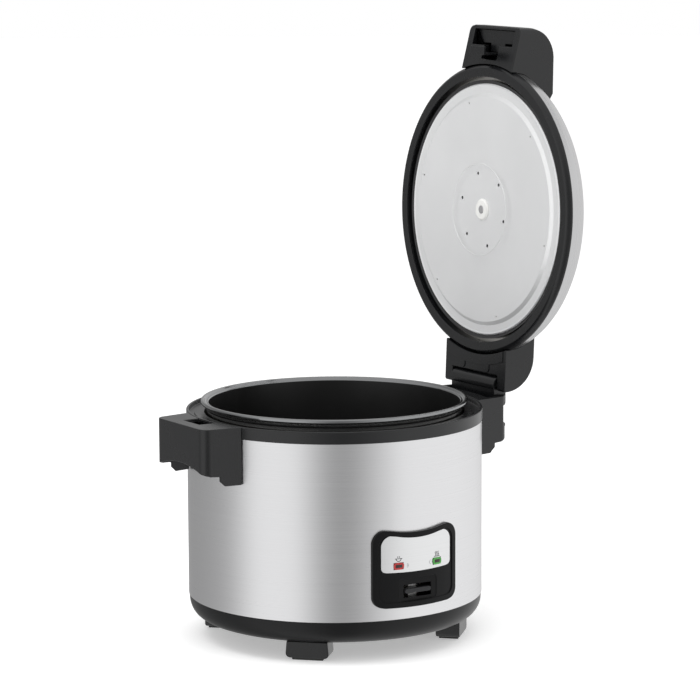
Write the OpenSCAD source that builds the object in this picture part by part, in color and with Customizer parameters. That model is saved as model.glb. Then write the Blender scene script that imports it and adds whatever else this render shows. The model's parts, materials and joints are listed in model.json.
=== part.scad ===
// Large catering rice cooker with its lid open, 1 unit = 1 mm, +Z up.
// The front with the control panel faces -Y, the carry handle with the latch slot is on -X and
// the lid hinge on +X. The origin is on the body's axis, in the plane that the feet rest on.

/* [Body] */
// Outer diameter of the steel shell
body_d = 390; // [320:1:460]
// Height of the steel shell
shell_h = 231; // [180:1:280]
// Thickness of the steel shell
shell_t = 0.8; // [0.5:0.1:2]
// Height of the feet, with their pads
foot_h = 25; // [20:1:40]
// Thickness of the rubber pad under each foot
foot_pad_t = 3; // [2:0.5:5]
// Width of a foot, across the radius
foot_w = 57; // [36:1:70]
// Length of a foot, along the radius
foot_l = 32; // [26:1:44]
// Distance from the body's edge to the outer end of a foot
foot_inset = 22; // [16:1:30]
// Height of the plastic base pan
base_h = 31; // [28:1:45]
// Wall thickness of the plastic mouldings
wall = 3; // [2:0.5:4]
// Height of the ring above the steel shell
ring_h = 16; // [12:1:24]
// Width of the seat in the ring that carries the liner's flange
liner_seat_w = 8; // [6:0.5:12]

/* [Handle and hinge mouldings] */
// Reach of the carry handle beyond the shell
handle_reach = 42; // [36:1:60]
// Reach of the hinge bracket beyond the shell
bracket_reach = 44; // [40:1:60]
// Half of the width of the mouldings at their outer end
side_half_w = 62; // [56:1:74]
// How much wider each side is where it meets the body
side_flare = 7; // [0:1:10]
// Height of the mouldings at their outer end
side_h = 59; // [50:1:80]
// Further drop of the side walls next to the body
side_drop = 16; // [8:1:24]
// Radius of the mouldings' upright corners
side_corner_r = 13; // [6:1:18]
// Length of the latch slot across the handle
slot_l = 40; // [36:1:50]
// Width of the latch slot
slot_w = 21; // [19:1:26]
// Height of the groove for the clip-on drip cup
cup_groove_h = 24; // [16:1:30]
// Depth of that groove
cup_groove_d = 7; // [4:1:8]

/* [Hinge] */
// Distance from the body's edge to the hinge axis
hinge_out = 38; // [36:1:42]
// Height of the hinge axis above the ring's top
hinge_up = 13.5; // [12:0.5:18]
// How far the lid stands open
lid_open = 92.5; // [90:0.5:100]
// Diameter of the hinge pin
hinge_pin_d = 8; // [6:0.5:9]
// Diameter of the hinge barrel
barrel_d = 23; // [20:1:25]
// Length of the hinge barrel
barrel_l = 100; // [80:1:106]
// Clearance of a pin in its running bore, on the radius
run_gap = 0.05; // [0.02:0.01:0.1]

/* [Lid] */
// Height of the steel dome above the lid's ring
dome_h = 58; // [40:1:70]
// Thickness of the lid's ring, face to dome
lid_ring_h = 8.8; // [7:0.1:12]
// Gap between the body's ring and the closed lid's ring
lid_gap = 6.6; // [5:0.1:9]
// Half of the width of the latch block
latch_half_w = 58; // [52:1:64]
// Reach of the latch block from the lid's axis, beyond the shell
latch_reach = 52; // [48:1:60]
// Half of the width of the hinge block
hinge_half_w = 70; // [60:1:74]
// How far the inner plate's edge lies inside the pot's lip
plate_margin = 6.75; // [6:0.25:12]
// Gap between the pot's lip and the lid ring's bore
lip_gap = 2.5; // [2:0.5:5]
// Thickness of the sheet metal in the lid
lid_sheet_t = 0.8; // [0.6:0.1:1.5]
// Diameter of the stud that holds the inner plate
stud_d = 11.2; // [8:0.2:14]
// Travel of the latch slide
latch_travel = 5; // [4:0.5:6]

/* [Pot] */
// Distance from the shell's outside to the pot's inside
pot_margin = 29; // [26:0.5:42]
// Wall thickness of the pot
pot_t = 3; // [2:0.5:4]
// Width of the rolled lip beyond the pot's wall
lip_w = 7.5; // [6:0.5:9]
// Height of the pot's lip above the body's ring
lip_up = 12; // [8:0.5:12]
// Inner radius of the pot's bottom corner
pot_corner_r = 28; // [15:1:40]
// Gap between the pot's lip and the lid's seal
seal_gap = 0.4; // [0.3:0.1:1]

/* [Heater] */
// Thickness of the cast heating plate
heater_t = 12; // [10:1:18]
// Gap between the heating plate and the base pan's floor
heater_up = 32; // [30:1:44]
// Diameter of the tubular element
element_d = 8; // [6:0.5:10]
// Diameter of the thermostat's head
head_d = 34; // [28:1:40]

/* [Controls] */
// Half of the width of the control bezel
bezel_half_w = 64; // [54:1:70]
// Height of the control bezel at its shoulders
bezel_h = 101; // [96:1:120]
// Height of the bezel's lower edge above the steel shell's
bezel_up = 17; // [12:1:30]
// How far the bezel stands proud of the shell
bezel_t = 4.5; // [3:0.5:6]
// Depth of the dip in the bezel's top edge
bezel_dip = 5; // [0:0.5:8]
// Swing of the cook lever
lever_swing = 3; // [2:0.5:4]
// Width of the cook lever's paddle
paddle_w = 40; // [30:1:44]

/* [Hidden] */

// Smoothness of the true curves
$fn = 96;
// Small overlap that keeps cuts clean
eps = 0.5;

// Heights, from the floor up
pan_z = foot_h;
pan_floor_z = pan_z + wall;
shell_z = pan_z + base_h;
ring_z = shell_z + shell_h;
top_z = ring_z + ring_h;
lip_z = top_z + lip_up;
heater_z = pan_floor_z + heater_up;
pot_z = heater_z + heater_t + 0.2;

// Radii of the body
body_r = body_d / 2;
shell_in_r = body_r - shell_t;
ring_r = body_r + 1;
floor_z = top_z - 5.5;
rim_w = 3.5;
pan_edge_r = body_r - 1;
pan_low_r = body_r - 24;

// The pot and the liner around it
pot_in_r = body_r - pot_margin;
pot_r = pot_in_r + pot_t;
lip_r = pot_r + lip_w;
liner_gap = 4;
liner_t = 0.8;
liner_r = pot_r + liner_gap;
ring_hole_r = liner_r + liner_seat_w;
liner_low_z = heater_z + 4;
liner_hole_r = pot_in_r - pot_corner_r + 6;
heater_r = liner_hole_r - 1.5;

// The lid, in its closed place
hinge_x = body_r + hinge_out;
hinge_z = top_z + hinge_up;
face_z = top_z + lid_gap;
dome_z = face_z + lid_ring_h;
seal_z = lip_z + seal_gap;
plate_z = seal_z + 0.8;
plate_r = lip_r - plate_margin;
face_in_r = lip_r + lip_gap;
liner_top_z = dome_z + 17.5;
liner_step_z = dome_z + 5.6;
plate_step_r = plate_r - 18;
plate_face_z = plate_z - 3.4;
stud_r = stud_d / 2;

// The latch
slot_x = -(body_r + 12.5);
top_t = 4;
latch_x = -(body_r + latch_reach);
latch_low_z = face_z + 13;
latch_bay_z = latch_low_z + 5.5;
window_w = 21;
window_x = latch_x + 5 + window_w / 2;
hook_t = 3;
hook_x = slot_x - 4;
hook_l = 32;
hook_catch = 8.5;
hook_tip_z = top_z - top_t - 5.5;

// The controls
bezel_z = shell_z + bezel_up;
bezel_r = body_r + bezel_t;
bezel_rim_w = 7;
rim_step = 1.4;
panel_r = bezel_r - rim_step;
pocket_half_w = 29;
pocket_y = -(bezel_r - 4.2);
slot_half_w = paddle_w / 2 + 1;
pocket_z = bezel_z + 6;
pocket_h = 30;
paddle_h = 6;
paddle_z = pocket_z + pocket_h / 2 - 2;
lamp_x = 29.5;
lamp_z = bezel_z + 53.5;
lever_y = -body_r * 0.56;
paddle_drop = (bezel_r + lever_y) * sin(lever_swing) + 0.8;
lever_z = pan_floor_z + 7.5;
lever_step_y = -(heater_r + 8);
lever_step_z = lever_z + 15.5;
cup_floor_z = heater_z - 10;
magnet_h = 4.8;
strip_y = -(body_r - 12);
lever_pin_d = 4;
arm_w = 12;
arm_t = 2.4;
arm_tip = -3;

// Half width, height and lowest point of the power inlet
inlet_half_w = 25;
inlet_h = 32;
inlet_z = shell_z + 14;

// Place and radius of the steam outlet
steam_x = -70;
steam_r = 15;

// Points of an arc about c, from angle a to angle b
function arc(c, r, a, b, n = 10) =
    [for (i = [0:n]) c + r * [cos(a + (b - a) * i / n), sin(a + (b - a) * i / n)]];

// Turns the closed lid to its open rest place
module at_open() {
    translate([hinge_x, 0, hinge_z])
        rotate([0, lid_open, 0])
            translate([-hinge_x, 0, -hinge_z]) children();
}

// Repeats a piece at the four feet
module at_feet() {
    for (i = [0:3]) rotate(45 + 90 * i) translate([body_r - foot_inset - foot_l / 2, 0, 0]) children();
}

// A straight bar along X between two heights and two sides
module bar_y(y0, y1, pts) {
    translate([0, y1, 0]) rotate([90, 0, 0]) linear_extrude(y1 - y0) polygon(pts);
}

// A coil spring along Z, swept as one skin
module coil(mean_r, wire_r, height, turns) {
    sides = 6;
    steps = turns * 14;
    pts = [for (i = [0:steps], k = [0:sides - 1])
        let (a = 360 * turns * i / steps, b = 360 * k / sides, r = mean_r + wire_r * cos(b))
            [r * cos(a), r * sin(a), wire_r + height * i / steps + wire_r * sin(b)]];
    skin = [for (i = [0:steps - 1], k = [0:sides - 1]) let (m = (k + 1) % sides)
        [(i + 1) * sides + k, (i + 1) * sides + m, i * sides + m, i * sides + k]];
    low = [[for (k = [0:sides - 1]) k]];
    high = [[for (k = [sides - 1:-1:0]) steps * sides + k]];
    polyhedron(pts, concat(skin, low, high), 4);
}

// A wire through a list of points, with a round bend at each
module wire(d, pts) {
    for (i = [0:len(pts) - 2]) {
        run = pts[i + 1] - pts[i];
        flat = norm([run.x, run.y]);
        translate(pts[i]) rotate([0, atan2(flat, run.z), atan2(run.y, run.x)])
            cylinder(d = d, h = norm(run), $fn = 16);
        if (i > 0) translate(pts[i]) sphere(d = d + 0.6, $fn = 16);
    }
}

// ---------- base ----------

module foot_outline() {
    r = 6;
    half = foot_w / 2;
    polygon(concat(arc([-half + r, foot_pad_t + r], r, 180, 270, 6), arc([half - r, foot_pad_t + r], r, 270, 360, 6),
        [[half - 1.5, foot_h], [-half + 1.5, foot_h]]));
}

module feet() {
    color("#26272a") at_feet() difference() {
        translate([-foot_l / 2, 0, 0]) rotate([90, 0, 90]) linear_extrude(foot_l) foot_outline();
        translate([0, 0, -eps]) cylinder(d = 10, h = foot_h - 6 + eps);
        cylinder(d = 5, h = foot_h + eps);
        translate([-foot_l / 2 - eps, -foot_w / 4, foot_h - 4]) cube([foot_l / 5, foot_w / 2, 5]);
    }
}

module foot_pads() {
    color("#3a3a3c") at_feet() difference() {
        translate([-foot_l / 2 + 3, -foot_w / 2 + 8, 0]) cube([foot_l - 6, foot_w - 16, foot_pad_t]);
        translate([0, 0, -eps]) cylinder(d = 11, h = foot_pad_t + 2 * eps);
    }
}

module foot_screws() {
    color("#b8babd") at_feet() {
        translate([0, 0, foot_h - 9]) cylinder(d = 9, h = 3);
        translate([0, 0, foot_h - 6]) cylinder(d = 5, h = 16);
    }
}

// Section of the base pan: curved under at its outside
module pan_section() {
    bend = base_h - 5;
    outer = [for (i = [0:8]) let (a = 90 * i / 8)
        [pan_edge_r - (pan_edge_r - pan_low_r) * (1 - cos(a)), shell_z - 5 - bend * sin(a)]];
    inner = [for (i = [8:-1:0]) let (a = 90 * i / 8)
        [pan_edge_r - wall - (pan_edge_r - pan_low_r) * (1 - cos(a)), shell_z - 5 - (bend - wall) * sin(a)]];
    polygon(concat([[0, pan_z]], [for (i = [8:-1:0]) outer[i]],
        [[pan_edge_r, shell_z - 1], [body_r - 0.2, shell_z - 1], [body_r - 0.2, shell_z],
         [shell_in_r - 0.15, shell_z], [shell_in_r - 0.15, shell_z + 6], [shell_in_r - wall, shell_z + 6]],
        [for (i = [8:-1:0]) inner[i]], [[0, pan_floor_z]]));
}

module base_pan() {
    color("#222326") {
        difference() {
            rotate_extrude() pan_section();
            at_feet() translate([0, 0, pan_z - eps]) cylinder(d = 5, h = wall + 2 * eps);
            for (i = [0:5], k = [-1, 1]) translate([k * (30 + 14 * i), 78, pan_z - eps])
                cylinder(d = 7, h = wall + 2 * eps);
        }
        at_feet() translate([0, 0, pan_floor_z - eps]) difference() {
            cylinder(d = 13, h = 9 + eps);
            translate([0, 0, -eps]) cylinder(d = 5, h = 10 + 2 * eps);
        }
    }
}

module outer_shell() {
    color("#c9cbcd") difference() {
        translate([0, 0, shell_z]) difference() {
            cylinder(r = body_r, h = shell_h, $fn = 180);
            translate([0, 0, -eps]) cylinder(r = shell_in_r, h = shell_h + 2 * eps, $fn = 180);
        }
        translate([-pocket_half_w - 2.5, -body_r - 5, pocket_z - 2.5])
            cube([2 * pocket_half_w + 5, 40, pocket_h + 5]);
        for (k = [-1, 1]) translate([k * lamp_x - 9, -body_r - 5, lamp_z - 6.5]) cube([18, 30, 13]);
        translate([body_r - 15, -inlet_half_w - 1, inlet_z - 1]) cube([30, 2 * inlet_half_w + 2, inlet_h + 2]);
    }
}

// ---------- ring with handle and hinge bracket ----------

module top_ring() {
    color("#2b2c2f") rotate_extrude($fn = 180) polygon([
        [ring_r, ring_z], [ring_r, top_z - 1], [ring_r - 1, top_z], [ring_r - rim_w, top_z],
        [ring_r - rim_w - 1, floor_z], [ring_hole_r, floor_z - 1], [ring_hole_r, ring_z - 2],
        [ring_hole_r + 2.5, ring_z - 2], [ring_hole_r + 2.5, floor_z - 4],
        [shell_in_r - 3, floor_z - 4], [shell_in_r - 3, ring_z - 6], [shell_in_r - 0.1, ring_z - 6],
        [shell_in_r - 0.1, ring_z]
    ]);
}

// Plan of a side moulding that reaches out along +X, drawn in by inset
module side_plan(reach, inset) {
    x = body_r + reach - inset;
    w = side_half_w - inset;
    r = max(side_corner_r - inset, 1);
    root = w + side_flare;
    polygon(concat([[0, -root], [body_r - 18, -root]], arc([x - r, -w + r], r, -90, 0, 8),
        arc([x - r, w - r], r, 0, 90, 8), [[body_r - 18, root], [0, root]]));
}

// A hollow side moulding: a top plate, side walls that step down to the body, an arched end wall
module side_shell(reach) {
    x = body_r + reach;
    low = top_z - side_h;
    chord = side_half_w - 8;
    rise = 9;
    sag_r = (chord * chord + rise * rise) / (2 * rise);
    difference() {
        translate([0, 0, low - side_drop]) linear_extrude(side_h + side_drop) side_plan(reach, 0);
        translate([0, 0, low - side_drop - eps])
            linear_extrude(side_h + side_drop - top_t + eps) side_plan(reach, wall);
        translate([0, 0, low - side_drop - eps]) cylinder(r = ring_r, h = side_h + side_drop + 2 * eps, $fn = 180);
        bar_y(-100, 100, [[x - reach * 0.74, low - side_drop - 1], [x - reach * 0.62, low - side_drop + 4],
            [x - reach * 0.45, low - 6], [x - 4, low], [x + 1, low], [x + 1, low - side_drop - 1]]);
        translate([x - wall - 20, 0, low + rise - sag_r]) rotate([0, 90, 0]) cylinder(r = sag_r, h = 40, $fn = 180);
    }
}

module carry_handle() {
    color("#2b2c2f") difference() {
        mirror([1, 0, 0]) side_shell(handle_reach);
        translate([slot_x - slot_w / 2, -slot_l / 2, top_z - top_t - eps]) cube([slot_w, slot_l, top_t + 2 * eps]);
    }
}

module hinge_bracket() {
    x = body_r + bracket_reach;
    groove_z = top_z - 13 - cup_groove_h;
    pocket_r = body_r + 20;
    web = barrel_d - 3;
    color("#2b2c2f") difference() {
        union() {
            side_shell(bracket_reach);
            translate([x - wall - 6, -side_half_w + 5, groove_z - 4])
                cube([wall + 4, 2 * side_half_w - 10, cup_groove_h + 8]);
            intersection() {
                translate([body_r, -side_half_w + 2, top_z - 14]) cube([bracket_reach - 2, 2 * side_half_w - 4, 13]);
                difference() {
                    translate([0, 0, top_z - 14]) cylinder(r = x, h = 14, $fn = 180);
                    translate([0, 0, top_z - 15]) cylinder(r = ring_r, h = 16, $fn = 180);
                }
            }
            translate([hinge_x - web / 2, -barrel_l / 2, top_z - 12]) cube([web, barrel_l, hinge_up + 12]);
            translate([hinge_x, barrel_l / 2, hinge_z]) rotate([90, 0, 0]) cylinder(d = barrel_d, h = barrel_l);
        }
        // groove round the outside for the drip cup
        translate([x - cup_groove_d, -side_half_w - 10, groove_z]) cube([20, 2 * side_half_w + 20, cup_groove_h]);
        // bay under the barrel
        difference() {
            translate([0, -side_half_w + 6, top_z - 9]) cube([x - 4, 2 * side_half_w - 12, 20]);
            translate([0, 0, top_z - 15]) cylinder(r = pocket_r, h = 40, $fn = 180);
            translate([hinge_x - web / 2, -barrel_l / 2, top_z - 12]) cube([web, barrel_l, hinge_up + 12]);
            translate([hinge_x, barrel_l / 2, hinge_z]) rotate([90, 0, 0]) cylinder(d = barrel_d, h = barrel_l);
        }
        translate([hinge_x, 100, hinge_z]) rotate([90, 0, 0]) cylinder(d = hinge_pin_d, h = 200);
    }
}

module hinge_pin() {
    half = hinge_half_w - 5;
    color("#a9abae") translate([hinge_x, half, hinge_z]) rotate([90, 0, 0]) cylinder(d = hinge_pin_d, h = 2 * half);
}

// ---------- heater ----------

module inner_liner() {
    color("#8f9296") rotate_extrude($fn = 180) polygon([
        [liner_r - liner_t, liner_low_z], [liner_r, liner_low_z], [liner_r, floor_z - 0.99],
        [ring_hole_r + 4, floor_z - 0.6], [ring_hole_r + 4, floor_z + liner_t], [liner_r - liner_t, floor_z + liner_t]
    ]);
}

module liner_floor() {
    color("#8f9296") translate([0, 0, liner_low_z]) difference() {
        cylinder(r = liner_r - liner_t, h = liner_t, $fn = 180);
        translate([0, 0, -eps]) cylinder(r = liner_hole_r, h = liner_t + 2 * eps, $fn = 180);
    }
}

module element_body() {
    mean_r = heater_r * 0.68;
    rotate(105) rotate_extrude(angle = 330) translate([mean_r, heater_z]) circle(d = element_d, $fn = 32);
    for (a = [105, 75]) rotate(a) translate([mean_r, 0, heater_z - 17]) cylinder(d = element_d * 0.75, h = 17, $fn = 32);
}

module heating_plate() {
    color("#9a9c9f") difference() {
        translate([0, 0, heater_z]) rotate_extrude() polygon([
            [head_d / 2 + 4, 0], [heater_r - 10, 0], [heater_r, 3], [heater_r, heater_t - 1],
            [heater_r - 2, heater_t], [head_d / 2 + 4, heater_t]
        ]);
        rotate_extrude() translate([heater_r * 0.68, heater_z]) circle(d = element_d, $fn = 32);
    }
}

module heating_element() {
    color("#6d6f73") element_body();
}

module plate_posts() {
    color("#b8babd") for (i = [0:2]) rotate(90 + 120 * i) translate([heater_r - 22, 0, pan_floor_z])
        cylinder(d = 10, h = heater_up);
}

module thermostat_cup() {
    in_r = head_d / 2 + 0.5;
    color("#b0b2b5") rotate_extrude() polygon([
        [5.5, cup_floor_z], [in_r + 2, cup_floor_z], [in_r + 2, heater_z - 2], [in_r + 13, heater_z - 2],
        [in_r + 13, heater_z], [in_r + 2, heater_z], [in_r + 2, heater_z + 6], [in_r, heater_z + 6],
        [in_r, cup_floor_z + 2], [5.5, cup_floor_z + 2]
    ]);
}

module thermostat_head() {
    r = head_d / 2;
    top = pot_z - 0.5;
    color("#c2c4c7") rotate_extrude() polygon([
        [0, top - 3.5], [r - 3, top - 3.5], [r - 3, top - 14], [r - 1, top - 14], [r - 1, top - 3],
        [r, top - 2.5], [r, top - 0.8], [r - 0.8, top], [0, top]
    ]);
}

module thermostat_spring() {
    low = cup_floor_z + 2;
    wire_r = 0.8;
    color("#d0d2d5") translate([0, 0, low + 0.1])
        coil(head_d / 2 - 5, wire_r, pot_z - 0.5 - 3.5 - low - 2 * wire_r - 0.2, 5);
}

module keep_warm_band() {
    color("#a58a4c") translate([0, 0, shell_z + shell_h * 0.35]) difference() {
        cylinder(r = liner_r + 1.6, h = 34, $fn = 180);
        translate([0, 0, -eps]) cylinder(r = liner_r, h = 34 + 2 * eps, $fn = 180);
        translate([0, 0, -eps]) cube([8, 2 * liner_r + 20, 80], center = true);
    }
}

// ---------- cook lever ----------

module lever_bracket() {
    color("#b0b2b5") difference() {
        union() {
            translate([-11, lever_y - 8, pan_floor_z]) cube([22, 16, 1.6]);
            for (k = [-11, 9.4]) translate([k, lever_y - 6, pan_floor_z]) cube([1.6, 12, lever_z - pan_floor_z + 6]);
        }
        translate([-20, lever_y, lever_z]) rotate([0, 90, 0]) cylinder(d = lever_pin_d, h = 40);
    }
}

module lever_pin() {
    color("#c2c4c7") translate([-12.5, lever_y, lever_z]) rotate([0, 90, 0]) cylinder(d = lever_pin_d, h = 25);
}

module lever_arm() {
    hub_r = lever_pin_d / 2 + 2;
    low = lever_z - arm_t / 2;
    high = lever_z + arm_t / 2;
    color("#b8babd") difference() {
        union() {
            translate([-arm_w / 2, 0, 0]) rotate([90, 0, 90]) linear_extrude(arm_w) polygon([
                [arm_tip, low], [arm_tip, high], [lever_step_y + arm_t, high], [lever_step_y + arm_t, lever_step_z + arm_t],
                [strip_y + arm_t, lever_step_z + arm_t], [strip_y + arm_t, paddle_z + 6], [strip_y, paddle_z + 6],
                [strip_y, lever_step_z], [lever_step_y, lever_step_z], [lever_step_y, low]
            ]);
            translate([-arm_w / 2, lever_y, lever_z]) rotate([0, 90, 0]) cylinder(r = hub_r, h = arm_w);
        }
        translate([-20, lever_y, lever_z]) rotate([0, 90, 0]) cylinder(r = lever_pin_d / 2 + run_gap, h = 40);
    }
}

module lever_magnet() {
    low = lever_z + arm_t / 2;
    color("#55575b") {
        translate([0, 0, low]) cylinder(d = 15, h = magnet_h, $fn = 48);
        translate([-arm_w / 2 + 1, arm_tip, low - arm_t]) cube([arm_w - 2, 5, arm_t + 1]);
    }
}

module cook_paddle() {
    front = -(bezel_r - 2.4);
    back = strip_y - 6;
    half = paddle_w / 2;
    color("#3a3b3e") {
        translate([-arm_w / 2, back, paddle_z - 3]) cube([arm_w, strip_y - back, 6]);
        translate([0, back, paddle_z]) rotate([90, 0, 0]) linear_extrude(back - front) union() {
            square([paddle_w - paddle_h, paddle_h], center = true);
            for (k = [-1, 1]) translate([k * (half - paddle_h / 2), 0]) circle(d = paddle_h, $fn = 32);
        }
    }
}

module microswitch() {
    color("#35363a") translate([arm_w / 2 + 8, lever_y - 30, pan_floor_z]) cube([12, 22, 14]);
}

module terminal_block() {
    color("#e4e1d6") translate([heater_r * 0.5, heater_r * 0.55, pan_floor_z]) difference() {
        cube([44, 20, 16]);
        for (i = [0:2]) translate([8 + 14 * i, 10, 8]) cylinder(d = 7, h = 10, $fn = 32);
        translate([-1, -1, 10]) cube([46, 5, 8]);
        translate([-1, 16, 10]) cube([46, 5, 8]);
    }
}

module thermal_fuse() {
    color("#d8d4c8") {
        translate([-60, 30, heater_z - 5]) rotate([0, 90, 25]) cylinder(d = 5, h = 26, $fn = 32);
        translate([-50, 30.5, heater_z - 8]) rotate(25) cube([5, 9, 8]);
    }
}

module wiring() {
    block = [heater_r * 0.5, heater_r * 0.55];
    gap_x = liner_r + 3.2;
    color("#8c2f2a") for (i = [0:2]) wire(3.2, [
        [body_r - 16, -9 + 9 * i, inlet_z + 10], [gap_x, -9 + 9 * i, inlet_z + 10],
        [gap_x, -9 + 9 * i, liner_low_z - 12], [gap_x - 30, 10 * i, pan_floor_z + 6 + 3 * i],
        [block.x + 8 + 14 * i, block.y - 12, pan_floor_z + 5], [block.x + 8 + 14 * i, block.y - 0.2, pan_floor_z + 5]
    ]);
}

// ---------- power inlet ----------

module inlet_surround() {
    color("#222326") difference() {
        translate([body_r - 10, -inlet_half_w - 10, inlet_z - 10]) cube([17, 2 * inlet_half_w + 20, inlet_h + 20]);
        cylinder(r = body_r, h = 2 * body_r, $fn = 180);
        translate([body_r - 15, -inlet_half_w, inlet_z]) cube([40, 2 * inlet_half_w, inlet_h]);
    }
}

module power_inlet() {
    cavity = [17, 27, 20];
    color("#1d1e20") difference() {
        union() {
            translate([body_r - 16, -inlet_half_w + 0.2, inlet_z + 0.2])
                cube([23, 2 * inlet_half_w - 0.4, inlet_h - 0.4]);
            translate([body_r + 7, -inlet_half_w - 4, inlet_z - 4]) cube([3, 2 * inlet_half_w + 8, inlet_h + 8]);
        }
        translate([body_r + 11 - cavity.x, -cavity.y / 2, inlet_z + inlet_h / 2 - cavity.z / 2]) cube(cavity);
        for (k = [-1, 1]) translate([body_r, k * (inlet_half_w - 4), inlet_z + inlet_h / 2]) rotate([0, 90, 0])
            cylinder(d = 4, h = 12, $fn = 32);
    }
}

module inlet_pins() {
    color("#c8a24a") for (i = [-1:1]) translate([body_r - 6, 7 * i - 1, inlet_z + inlet_h / 2 - (i == 0 ? -1 : 5)])
        cube([13, 2, 4]);
}

// ---------- controls ----------

// Outline of the control bezel, drawn in by inset, with two shoulders and a dip between them
module bezel_outline(inset, low, high, low_r) {
    w = bezel_half_w - inset;
    r = 18 - inset / 3;
    shoulder = w - r;
    dip = bezel_dip;
    polygon(concat(
        arc([w - low_r, low + low_r], low_r, -70, 0, 6),
        arc([shoulder, high - r], r, 0, 80, 10),
        [for (i = [-6:6]) let (x = -shoulder * 0.85 * i / 6) [x, high - dip + dip * pow(x / shoulder, 2)]],
        arc([-shoulder, high - r], r, 100, 180, 10),
        arc([-w + low_r, low + low_r], low_r, 180, 250, 6),
        [for (i = [-4:4]) let (x = (w - low_r - 2) * i / 4) [x, low - 1.5 + 1.5 * pow(x / w, 2)]]
    ));
}

// A curved plate on the shell's front with the bezel's outline
module front_plate(r0, r1, inset, low, high, low_r) {
    intersection() {
        difference() {
            translate([0, 0, low - 10]) cylinder(r = r1, h = high - low + 20, $fn = 180);
            translate([0, 0, low - 11]) cylinder(r = r0, h = high - low + 22, $fn = 180);
        }
        rotate([90, 0, 0]) linear_extrude(body_r + 30) bezel_outline(inset, low, high, low_r);
    }
}

module lamp_cuts(grow) {
    for (k = [-1, 1]) translate([k * lamp_x, -body_r - 20, lamp_z]) rotate([-90, 0, 0]) linear_extrude(60)
        square([14 + 2 * grow, 9 + 2 * grow], center = true);
}

module control_bezel() {
    color("#1f2023") difference() {
        union() {
            front_plate(body_r, bezel_r, 0, bezel_z, bezel_z + bezel_h, 14);
            translate([-pocket_half_w - 2, pocket_y, pocket_z - 2]) cube([2 * pocket_half_w + 4, 2.5, pocket_h + 4]);
        }
        // the face inside the rim lies lower
        front_plate(panel_r, bezel_r + 2, bezel_rim_w, bezel_z + bezel_rim_w, bezel_z + bezel_h - bezel_rim_w + 1, 10);
        translate([0, pocket_y, pocket_z]) rotate([90, 0, 0]) linear_extrude(20) pocket_outline(5);
        translate([-slot_half_w, pocket_y - 10, paddle_z - paddle_h / 2 - paddle_drop])
            cube([2 * slot_half_w, 30, paddle_h + paddle_drop + 5]);
        lamp_cuts(0.1);
    }
}

// Round-cornered rectangle of the lever's recess
module pocket_outline(r) {
    w = pocket_half_w - r;
    polygon(concat(arc([w, r], r, -90, 0, 6), arc([w, pocket_h - r], r, 0, 90, 6),
        arc([-w, pocket_h - r], r, 90, 180, 6), arc([-w, r], r, 180, 270, 6)));
}

module label_plate() {
    color("#d9dadc") difference() {
        front_plate(panel_r, panel_r + 0.5, 11, bezel_z + 46, bezel_z + bezel_h - 7.5, 6);
        lamp_cuts(0.1);
    }
}

module lamp(side) {
    front = panel_r + 1.2;
    intersection() {
        translate([side * lamp_x - 7, -front - 2, lamp_z - 4.5]) cube([14, 14, 9]);
        cylinder(r = front, h = 2 * body_r, $fn = 180);
    }
}

module lamp_cook() {
    color("#d23a2c") lamp(-1);
}

module lamp_warm() {
    color("#46b64a") lamp(1);
}

// ---------- pot ----------

module inner_pot() {
    base_r = pot_r - pot_corner_r;
    in_c = [pot_in_r - pot_corner_r, pot_z + pot_t + pot_corner_r];
    color("#3c3d40") rotate_extrude($fn = 180) polygon(concat(
        [[0, pot_z]], arc([pot_r - pot_corner_r - pot_t, pot_z + pot_corner_r + pot_t], pot_corner_r + pot_t, 270, 360, 10),
        [[pot_r, lip_z - 12], [pot_r + 2, lip_z - 9], [pot_r + 2, lip_z - 6], [lip_r, lip_z - 4.5]],
        arc([lip_r - 2, lip_z - 2], 2, 0, 90, 6),
        [[lip_r - 4, lip_z], [lip_r - 5.5, lip_z - 2.5], [pot_in_r + 3, lip_z - 3.5], [pot_in_r + 1.5, lip_z - 2.5],
         [pot_in_r, lip_z - 4]],
        arc(in_c, pot_corner_r, 360, 270, 10), [[0, pot_z + pot_t]]
    ));
}

// ---------- lid, drawn closed ----------

// Height of the dome's outside at a step of its curve, and its radius there
function dome_r(t, grow) = (body_r + grow) * pow(sin(t), 0.8);
function dome_y(t, grow) = dome_z + (dome_h + grow) * pow(max(cos(t), 0), 0.8);

module dome_section(grow) {
    polygon(concat([[0, dome_z - 60]], [[body_r + grow, dome_z - 60]],
        [for (i = [24:-1:0]) [dome_r(90 * i / 24, grow), dome_y(90 * i / 24, grow)]]));
}

module lid_dome() {
    color("#c9cbcd") at_open() difference() {
        intersection() {
            rotate_extrude($fn = 180) dome_section(0);
            translate([0, 0, dome_z]) cylinder(r = body_r + 1, h = dome_h + 5);
        }
        rotate_extrude($fn = 180) dome_section(-lid_sheet_t);
        translate([steam_x, 0, dome_z]) cylinder(r = steam_r, h = 100);
    }
}

module lid_ring() {
    out = body_r + 0.8;
    color("#27282b") at_open() rotate_extrude($fn = 180) polygon([
        [face_in_r, face_z + 0.4], [body_r - 4.5, face_z], [body_r - 1.5, face_z + 2.2], [out, face_z + 6],
        [out, dome_z], [body_r - lid_sheet_t - 0.1, dome_z], [body_r - lid_sheet_t - 1.6, dome_z + 5],
        [body_r - 4.5, dome_z + 5], [body_r - 4.5, face_z + 5], [face_in_r + wall, face_z + wall],
        [face_in_r + wall, liner_top_z - 8], [face_in_r, liner_top_z - 8]
    ]);
}

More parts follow.
